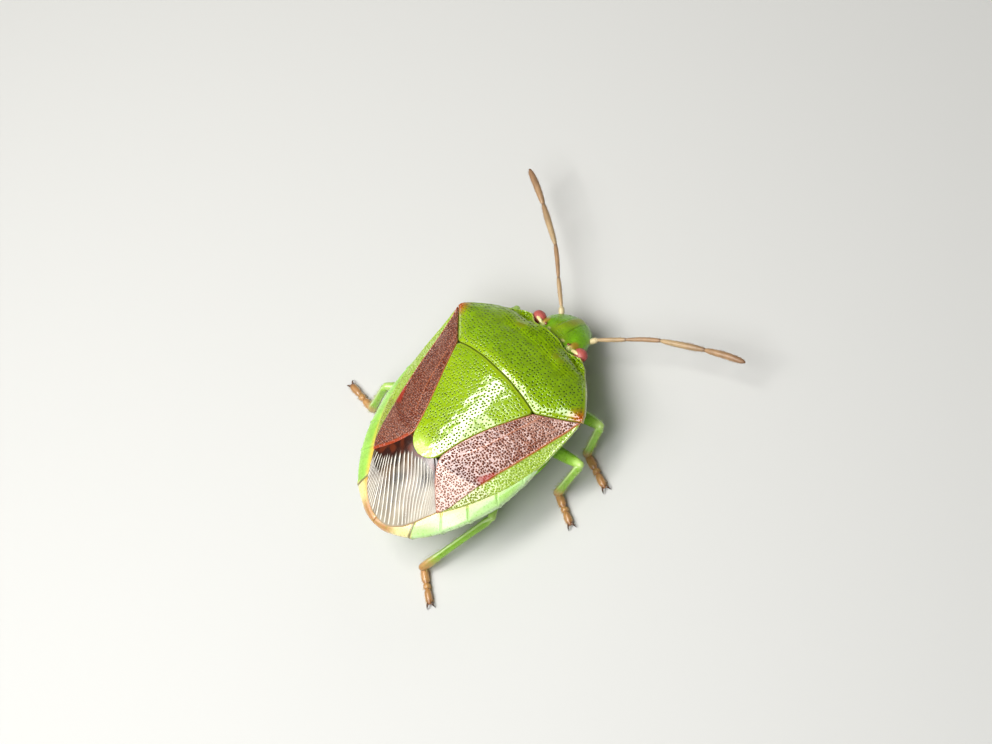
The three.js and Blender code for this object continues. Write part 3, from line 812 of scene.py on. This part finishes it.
def connexivum_top(side):
    def top(x, y, u, v, distance):
        edge = connexivum_outer(v)[..., 1]
        z = back_height(x, y) - 0.14 + 0.06 * step(0.0, 0.9, u)
        seam = sum(step(0.05, 0.015, np.abs(edge - place + 0.1 * (u - 0.5))) for place in SUTURES[:4])
        final = step(0.05, 0.02, np.abs(edge - SUTURES[4] + 0.16 * (u - 0.5)))
        z = z - 0.03 * clamp(seam + final) + 0.03 * np.sin(np.pi * clamp(u))
        fine = pits(x, y, 0.12, 0.026, 44, keep=0.6) * 0.6
        last = step(-8.5, -8.6, edge)
        tip = step(-8.9, -9.2, edge)
        # near is 1 on the near side, where the pale mint layer is partly painted glare
        near = 1.0 if side > 0 else 0.45
        tooth = sum(step(0.09, 0.03, np.hypot((1 - u) * 0.9, edge - place)) for place in SUTURES)
        mint = clamp(0.55 + 0.3 * waves(x, y, 0.9, 23) + 0.3 * step(0.6, 1.0, u))
        return z, {
            "mint": near * mint * step(0.1, 0.5, u) * (1 - last),
            "tail": last,
            "inner": clamp(0.9 * step(0.55, 0.2, u) * step(-3, -5, y) + 0.5 * last * step(0.7, 0.3, u)),
            "orange": clamp(0.5 * step(0.22, 0.08, u) * step(-4, -6, y) + 0.7 * last * step(0.5, 0.2, u)),
            "rust": 0.8 * tip * step(-0.1, 0.5, u + 0.3 * waves(x, y, 0.3, 3)),
            "seam": 0.22 * clamp(seam) * (1 - last),
            "suture": clamp(0.75 * final + 0.3 * tooth),
            "pit": fine * (1 - clamp(seam)),
        }
    return top


for word, side in SIDES:
    ob = plate(
        "connexivum_" + word + "_edge", connexivum_plan(side), connexivum_top(side), 40, 360, CONNEXIVUM,
        rim=0.07, skirt=0.3, lip=0.25, flip=side > 0)
    keep(ob, "connexivum", "connexivum_" + word)


# Trunk below the plates
TRUNK_EDGE, TRUNK_TOP = 0.28, 0.34  # how far they lie below the back


def trunk(name, front, rear, inset, seams, node, spiracles=()):
    nu, nv = 240, 300
    v, s = np.meshgrid(np.linspace(0, 1, nv), np.linspace(-1, 1, nu), indexing="ij")
    y = mix(front, rear, v)
    width = half_width(y) - inset
    x = s * width
    rim = back_height(width, y) - TRUNK_EDGE
    keel = np.minimum(keel_height(y), rim)
    keel = mix(keel, rim - 0.02, step(-8.3, -9.18, y) ** 1.4)
    swell = np.maximum(1 - s * s, 0) ** 0.7
    bottom = mix(rim, keel, swell)
    seam = np.zeros_like(y)
    for place, bow in seams:
        seam = np.maximum(seam, step(0.05, 0.015, np.abs(y - place - bow * (1 - s * s))))
    fine = pits(x, y, 0.17, 0.04, 71, keep=0.8)
    bottom = bottom + 0.05 * seam + 0.015 * fine
    top = back_height(x, y) - TRUNK_TOP - 0.1 * (1 - s * s)
    keelline = step(0.12, 0.02, np.abs(x))
    spiracle = np.zeros_like(x)
    for place in spiracles:
        away = np.hypot(np.abs(x) - (half_width(place) - 0.75), y - place)
        spiracle = np.maximum(spiracle, step(0.1, 0.05, away))
    masks = {
        "pale": clamp(0.5 * keelline + 0.3 * (0.5 + 0.5 * waves(x, y, 1.2, 61))),
        "suture": 0.8 * seam,
        "brown": 0.3 * step(0.75, 0.98, np.abs(s)) * step(-7.5, -8.6, y),
        "dark": spiracle,
        "pit": 0.6 * fine,
    }
    keep(shell(name, x, y, bottom, top, masks, UNDERSIDE), "underside", node)


trunk("thorax_body", 1.62, -3.55, 0.16, [(0.45, 0.15), (-1.2, 0.2), (-2.7, 0.1)], "thorax")
trunk(
    "abdomen_body", -3.45, -9.18, 0.1, [(-4.95, 0.45), (-6.3, 0.5), (-7.45, 0.5), (-8.4, 0.35)],
    "abdomen", spiracles=(-4.3, -5.65, -6.9, -7.95))


# Head
head_side = profile([
    (1.6, 1.2), (2.0, 1.22), (2.4, 1.15), (2.7, 0.98), (2.89, 0.8), (3.03, 0.58), (3.12, 0.38),
    (3.18, 0.16), (3.2, 0.02),
])
head_crown = profile([(1.6, 2.86), (2.0, 2.7), (2.5, 2.44), (2.9, 2.08), (3.2, 1.7)])
head_edge = profile([(1.6, 2.35), (2.0, 2.26), (2.4, 2.08), (2.7, 1.9), (3.03, 1.66), (3.2, 1.58)])
head_chin = profile([(1.6, 1.3), (2.0, 1.3), (2.6, 1.34), (3.2, 1.5)])


def head_piece():
    nu, nv = 170, 190
    v, s = np.meshgrid(1 - (1 - np.linspace(0, 1, nv)) ** 1.4, np.linspace(-1, 1, nu), indexing="ij")
    y = mix(1.55, 3.2, v)
    x = s * head_side(y)
    ax = np.abs(x)
    top = mix(head_crown(y), head_edge(y), np.abs(s) ** 2.2)
    rim = (1 - np.abs(s)) * head_side(y)
    top = top - rim_drop(np.minimum(rim, (3.2 - y) * 1.2), 0.09)
    top = top + 0.1 * bell(ax, 0.92, 0.28) * bell(y, 2.05, 0.5)
    clypeus = step(0.3, 0.22, ax) * step(2.15, 2.45, y)
    groove = step(0.05, 0.0, np.abs(ax - 0.28 + 0.05 * (y - 2.4))) * step(2.1, 2.4, y)
    fine = pits(x, y, 0.1, 0.024, 81, keep=0.75)
    top = top + 0.02 * clypeus - 0.012 * groove - 0.012 * fine * (1 - clypeus * 0.6)
    under = np.minimum(mix(head_edge(y) - 0.24, head_chin(y), np.maximum(1 - s * s, 0) ** 0.7), top - 0.01)
    crescent = step(0.2, 0.06, np.hypot(ax - 0.86, (y - 1.9) * 0.9))
    masks = {
        "midline": 0.8 * step(0.75, 0.15, ax) * clamp(0.75 + 0.35 * waves(x, y, 0.4, 5))
        * step(3.2, 2.2, y + 0.8 * ax),
        "orange": 0.5 * step(0.3, 0.12, ax + 0.06 * waves(x, y, 0.3, 6)) * step(2.45, 2.85, y),
        "cream": 0.6 * crescent + 0.5 * step(0.14, 0.05, np.hypot(ax - 0.45, (y - 1.93) * 1.6)),
        "pit": 0.5 * fine,
        # darker along the groove, and a painted shadow beside each ocellus
        "dark": clamp(0.4 * groove + 0.7 * step(0.09, 0.04, np.hypot((ax - 0.8) * 1.3, y - 2.03))),
        "reddish": 0.6 * step(0.2, 0.08, np.hypot(ax - 0.92, (y - 2.1) * 0.8)),
    }
    return shell("head_capsule", x, y, top, under, masks, HEAD, flip=True)


keep(head_piece(), "head", "head")

EYE_CENTRE = np.array([1.35, 2.0, 2.29])
EYE_RADII = np.array([0.33, 0.28, 0.25])
FACET = 0.115  # width of a facet, in radians


def globe(nu, nv):
    """Longitudes and latitudes of a ball's points."""
    return np.meshgrid(np.linspace(0, 2 * np.pi, nu, endpoint=False), np.linspace(-np.pi / 2, np.pi / 2, nv))


def eye_piece(side, word):
    """Faceted eye: a fine ball whose surface is a field of small domes."""
    nu, nv = 180, 110
    lon, lat = globe(nu, nv)
    way = np.stack([np.sin(lat), np.cos(lat) * np.cos(lon), np.cos(lat) * np.sin(lon)], -1)
    ring = np.round((np.pi / 2 - np.abs(lat)) / FACET)
    around = np.maximum(np.round(ring * 6.0), 1)
    along = (np.pi / 2 - np.abs(lat)) / FACET - ring
    cell = lon / (2 * np.pi) * around
    off = (cell - np.round(cell)) * (2 * np.pi * np.cos(lat) / around) / FACET
    d = clamp(np.hypot(along, off) * 2)
    bulge = 1 + 0.018 * (1 - d ** 2)
    points = EYE_CENTRE * [side, 1, 1] + way * EYE_RADII * bulge[..., None] * [side, 1, 1]
    masks = {"facet": 0.6 * step(0.6, 1.0, d), "shine": 0.35 * step(0.2, 0.9, way[..., 2])}
    faces = grid_faces(nu, nv, flip=side < 0, wrap=True)
    ob = make_mesh("eye_" + word + "_ball", points.reshape(-1, 3), faces, masks, EYE)
    keep(ob, "eye", "eye_" + word)


for word, side in SIDES:
    eye_piece(side, word)
    lon, lat = globe(24, 13)
    ball = np.stack([np.cos(lat) * np.cos(lon), np.cos(lat) * np.sin(lon), np.sin(lat)], -1).reshape(-1, 3)
    ball = [side * 0.74, 1.97, 2.62] + ball * [0.062, 0.062, 0.045]
    keep(make_mesh("ocellus_" + word, ball, grid_faces(24, 13, wrap=True), {}, OCELLUS), "eye")
    bundle = Bundle()
    arc = [(side * x, y, z) for x, y, z in (
        (0.93, 1.85, 2.48), (1.1, 1.91, 2.5), (1.3, 1.94, 2.505), (1.44, 1.95, 2.46))]
    verts, quads, *_ = tube(arc, [(0, 0.04), (0.3, 0.075), (0.7, 0.07), (1, 0.03)], 16, (1.0, 0.6), 24)
    bundle.add(verts, quads, cream=0.95)
    keep(bundle.build("eye_rim_" + word, HEAD), "head")


# Feelers
ANTENNA_JOINTS = [
    (0.84, 2.6, 1.64), (1.18, 2.97, 1.8), (2.21, 3.8, 1.92), (3.42, 4.76, 1.92), (5.24, 5.72, 1.98),
    (6.96, 6.46, 1.98),
]
ANTENNA_RADII = [
    [(0, 0.09), (0.5, 0.125), (0.9, 0.12), (1, 0.08)],
    [(0, 0.06), (0.2, 0.085), (0.8, 0.095), (1, 0.075)],
    [(0, 0.06), (0.2, 0.085), (0.8, 0.1), (1, 0.08)],
    [(0, 0.07), (0.2, 0.115), (0.7, 0.14), (1, 0.09)],
    [(0, 0.07), (0.15, 0.125), (0.6, 0.15), (0.9, 0.12), (1, 0.06)],
]


def scattered_hairs(points, radii, number, length, seed, lean=0.6):
    """Roots and directions of hairs spread round a limb, leaning to its end."""
    line, size = even_curve(points), profile(radii)
    rng = np.random.default_rng(seed)
    s = rng.uniform(0.04, 0.97, number)
    at = line(s)
    ahead = unit(line(clamp(s + 0.01)) - line(clamp(s - 0.01)))
    side = unit(np.cross(ahead, [0, 0, 1.0]))
    top = np.cross(side, ahead)
    a = rng.uniform(0, 2 * np.pi, number)
    out = np.cos(a)[:, None] * side + np.sin(a)[:, None] * top
    return hairs(at + out * size(s)[:, None] * 0.95, out + lean * ahead, length, seed)


for word, side in SIDES:
    for number in range(5):
        a, b = (np.array(ANTENNA_JOINTS[number + k]) * [side, 1, 1] for k in (0, 1))
        middle = (a + b) / 2 + np.array([0, 0.03, 0.02]) * (number in (2, 4))
        path, radii = [a, middle, b], ANTENNA_RADII[number]
        verts, quads, s, _ = tube(path, radii, 20, ROUND, 40)
        bundle = Bundle()
        bundle.add(
            verts, quads, cream=1.0 if number == 0 else 0.25 * (number in (1, 3)),
            dusk=0.5 * step(0.3, 0.9, s) if number >= 3 else 0.25 * s,
            joint=0.6 * (step(0.05, 0.0, s) + step(0.95, 1.0, s)) * (number > 0))
        many = (0, 60, 60, 240, 240)[number]
        if many:
            bundle.add(*scattered_hairs(path, radii, many, 0.07, 100 + number), dusk=0.3)
        name = "antenna_" + word + "_" + str(number + 1)
        keep(bundle.build(name + "_segment", ANTENNA), "antenna", name)


# Beak in four segments
bundle = Bundle()
beak = even_curve([(0, 2.86, 1.42), (0, 2.6, 1.2), (0, 2.2, 1.1), (0, 0.6, 0.86), (0, -1.5, 0.7)])
for start, end, size in ((0, 0.22, 0.16), (0.22, 0.52, 0.13), (0.52, 0.78, 0.11), (0.78, 1.0, 0.09)):
    path = beak(np.linspace(start, end, 5))
    tip = 0.03 if end == 1.0 else size * 0.8
    radii = [(0, size * 0.8), (0.15, size), (0.8, size * 0.95), (1, tip)]
    verts, quads, s, _ = tube(path, radii, 20, (1.1, 0.8), 24)
    brown = 0.5 * step(0.85, 1.0, s) + 0.4 * (end == 1.0) * s
    bundle.add(verts, quads, amber=0.5 + 0.2 * s, brown=brown, pale=0.2)
keep(bundle.build("beak", LEG), "rostrum", "rostrum")


# Legs: hip and knee in space, ankle and toe in plan
LEGS = {
    "front_left": ((-1.3, -0.1, 1.0), (-2.95, 1.6, 1.35), (-3.9, -0.1), (-5.2, -0.7)),
    "front_right": ((1.3, -0.1, 1.0), (4.15, 0.39, 1.85), (3.89, -0.87), (5.45, -1.35)),
    "mid_left": ((-1.4, -2.1, 1.0), (-4.72, -4.8, 1.85), (-5.24, -6.0), (-6.95, -5.9)),
    "mid_right": ((1.4, -2.1, 1.0), (4.75, -1.37, 1.9), (4.16, -2.94), (5.5, -3.5)),
    "hind_left": ((-1.0, -3.5, 0.98), (-3.3, -5.5, 1.5), (-0.9, -8.4), (-2.2, -8.75)),
    "hind_right": ((1.0, -3.5, 0.98), (3.27, -5.61, 1.5), (1.97, -9.29), (3.3, -10.15)),
}
ANKLE_HEIGHT, HEEL_HEIGHT, TOE_HEIGHT = 0.42, 0.22, 0.17
CLAW_SPREAD = 0.5  # radians each way from the foot's line


def leg_pieces(word, hip, knee, ankle, toe):
    hip, knee = np.array(hip), np.array(knee)
    ankle_top = np.array([*ankle, ANKLE_HEIGHT])
    foot_start, foot_end = np.array([*ankle, HEEL_HEIGHT]), np.array([*toe, TOE_HEIGHT])
    seed = sum(ord(c) for c in word)
    # thigh
    bundle = Bundle()
    radii = [(0, 0.2), (0.08, 0.25), (0.4, 0.3), (0.8, 0.26), (0.95, 0.2), (1, 0.17)]
    path = [hip, (hip + knee) / 2 + [0, 0, 0.04], knee]
    verts, quads, s, turn = tube(path, radii, 24, (1.0, 0.92), 60)
    fine = 0.4 * pits(s * 12, turn / 2.2, 0.28, 0.06, 91, keep=0.7)
    # pale at the knee, and a painted highlight over the thigh's upper half
    pale = 0.45 * step(0.88, 0.98, s) + 0.15 * step(0.2, 0.9, np.sin(turn))
    bundle.add(verts, quads, pale=pale, pit=fine * step(0.95, 0.85, s))
    bundle.add(*scattered_hairs(path, radii, 150, 0.12, seed), pale=0.9)
    keep(bundle.build("femur_" + word + "_thigh", LEG), "leg", "femur_" + word)
    # shin, three-sided with a keel along its upper face
    bundle = Bundle()
    knee_in = mix(knee, ankle_top, 0.015)
    radii = [(0, 0.13), (0.06, 0.18), (0.2, 0.165), (0.7, 0.165), (0.92, 0.2), (1, 0.17)]
    path = [knee_in, (knee_in + ankle_top) / 2 + [0, 0, 0.02], ankle_top]
    verts, quads, s, turn = tube(path, radii, 28, ROUND, 70)
    # the shin's upper face along its keel, painted pale there as a highlight
    keel = step(0.35, 0.1, np.abs(np.angle(np.exp(1j * (turn - np.pi / 2)))))
    centre = even_curve(path)(s)
    shape = 1 + 0.12 * np.cos(3 * (turn - np.pi / 2)) * step(0.02, 0.12, s) * step(1.0, 0.9, s)
    verts = centre + (verts - centre) * shape[:, None]
    amber = step(0.72, 0.95, s)
    bundle.add(
        verts, quads, keel=0.75 * keel * (1 - 0.5 * amber), amber=0.9 * amber,
        brown=0.35 * step(0.93, 1.0, s), pale=0.35 * step(0.08, 0.0, s))
    bundle.add(*scattered_hairs(path, radii, 260, 0.15, seed + 7), pale=0.8, amber=0.3)
    keep(bundle.build("tibia_" + word + "_shin", LEG), "leg", "tibia_" + word)
    # foot of three short segments with claws
    bundle = Bundle()
    way = unit(foot_end - foot_start)
    for start, end, size in ((0.0, 0.42, 0.17), (0.44, 0.6, 0.15), (0.62, 0.98, 0.155)):
        a, b = mix(foot_start, foot_end, start), mix(foot_start, foot_end, end)
        radii = [(0, size * 0.75), (0.2, size), (0.8, size * 1.02), (1, size * 0.72)]
        path = [a, (a + b) / 2, b]
        verts, quads, s, _ = tube(path, radii, 22, (1.0, 0.95), 26)
        verts[:, 2] = np.maximum(verts[:, 2], 0.0)
        brown = 0.45 * step(0.8, 1.0, s) + 0.25 * (end > 0.9) + 0.15
        bundle.add(verts, quads, amber=0.95, brown=brown, pale=0.1)
        at, quads, tris = scattered_hairs(path, radii, 90, 0.11, seed + int(end * 10), lean=0.9)
        at[:, 2] = np.maximum(at[:, 2], 0.004)
        bundle.add(at, quads, tris, amber=0.8, pale=0.35)
    keep(bundle.build("tarsus_" + word + "_foot", LEG), "foot", "tarsus_" + word)
    bundle = Bundle()
    side = unit(np.cross(way, [0, 0, 1.0]))
    for hand in (-1, 1):
        out = way * np.cos(CLAW_SPREAD) + hand * side * np.sin(CLAW_SPREAD)
        root = foot_end - 0.06 * way + 0.04 * hand * side
        path = [root] + [
            root + far * out + [0, 0, rise] for far, rise in ((0.14, 0.05), (0.26, -0.02), (0.31, -0.12))]
        verts, quads, s, _ = tube(path, [(0, 0.055), (0.4, 0.042), (1, 0.008)], 12, ROUND, 20)
        verts[:, 2] = np.maximum(verts[:, 2], 0.0)
        bundle.add(verts, quads, tip=step(0.3, 0.9, s))
    keep(bundle.build("claws_" + word, CLAW), "foot")
    # hip joint under the body
    bundle = Bundle()
    inner = hip + [-np.sign(hip[0]) * 0.5, 0.0, 0.12]
    path = [inner, (inner + hip) / 2 - [0, 0, 0.05], mix(hip, knee, 0.03)]
    verts, quads, s, turn = tube(path, [(0, 0.34), (0.5, 0.33), (0.8, 0.25), (1, 0.22)], 24, ROUND, 30)
    bundle.add(verts, quads, pale=0.5, pit=0.3 * pits(s * 4, turn / 2, 0.2, 0.05, 95, keep=0.7))
    keep(bundle.build("coxa_" + word, UNDERSIDE), "underside")


for word, places in LEGS.items():
    leg_pieces(word, *places)


# Floor, light and camera
floor_material = bpy.data.materials.new("studio_floor")
floor_material.use_nodes = True
floor_shader = floor_material.node_tree.nodes["Principled BSDF"]
floor_shader.inputs["Base Color"].default_value = (0.62, 0.62, 0.6, 1.0)
floor_shader.inputs["Roughness"].default_value = 0.85
floor_mesh = bpy.data.meshes.new("studio_floor")
FLOOR = 1.5  # half its width, in metres
corners = [(x * FLOOR, y * FLOOR, 0) for x, y in ((-1, -1), (1, -1), (1, 1), (-1, 1))]
floor_mesh.from_pydata(corners, [], [(0, 1, 2, 3)])
floor_mesh.materials.append(floor_material)
link(bpy.data.objects.new("studio_floor", floor_mesh))


def area_light(name, place, size, size_y, watts, colour, aim=(0, -3.5, 2.5), mirrored=True):
    light = bpy.data.lights.new(name, "AREA")
    light.shape = "RECTANGLE"
    light.size, light.size_y = size * MM, size_y * MM
    light.energy = watts
    light.color = colour
    ob = link(bpy.data.objects.new(name, light))
    ob.visible_glossy = mirrored
    ob.location = Vector(ORIGIN) + Vector(place) * MM
    way = Vector(ORIGIN) + Vector(aim) * MM - ob.location
    ob.rotation_euler = way.to_track_quat("-Z", "Y").to_euler()


# the first three make the glare along the back, and the last one lights the head and leaves no glare
area_light("crest_light", (-20.5, -27, 92), 27, 84, 0.076, (1.0, 0.985, 0.96), (-20.5, -27, 0))
area_light("broad_light", (30, -47, 92), 74, 73, 0.085, (0.98, 0.99, 1.0), (30, -47, 0))
area_light("tail_light", (-56, -68, 92), 52, 50, 0.024, (1.0, 0.99, 0.97), (-56, -68, 0))
area_light("front_light", (-30, 110, 50), 70, 60, 0.014, (1.0, 0.98, 0.96), mirrored=False)

world = bpy.data.worlds.new("studio_world")
world.use_nodes = True
sky = world.node_tree.nodes["Background"].inputs
sky["Color"].default_value = (1.0, 0.98, 0.92, 1.0)
sky["Strength"].default_value = 0.07
bpy.context.scene.world = world

# The camera's own directions, turned in its picture so that the bug lies as in the photo
ELEVATION = np.radians(62)
CAMERA_DISTANCE = 117.1
AHEAD, ASIDE = 0.692, 0.722  # what the picture's right has of the bug's two ways
MIDDLE = (1.013, 0.412)  # the picture's middle, behind the shoulders and to the side
across = np.array([np.sin(ELEVATION), 0, -np.cos(ELEVATION)])
back = np.array([np.cos(ELEVATION), 0, np.sin(ELEVATION)])
forward = np.array([0, 1.0, 0])
right = unit(AHEAD * forward + ASIDE * across)
up = unit(ASIDE * forward - AHEAD * across)
centre = ORIGIN + MM * (np.array([0, 0, SHOULDER]) - MIDDLE[0] * forward - MIDDLE[1] * across)
camera_data = bpy.data.cameras.new("photo_camera")
camera_data.lens = 100
camera_data.sensor_width = 36
camera_data.clip_start = 0.005
camera_data.clip_end = 10
camera = link(bpy.data.objects.new("photo_camera", camera_data))
place = centre + back * CAMERA_DISTANCE * MM
camera.matrix_world = Matrix([*np.stack([right, up, back, place], 1).tolist(), [0, 0, 0, 1]])
bpy.context.scene.camera = camera
bpy.context.scene.view_settings.view_transform = "Standard"
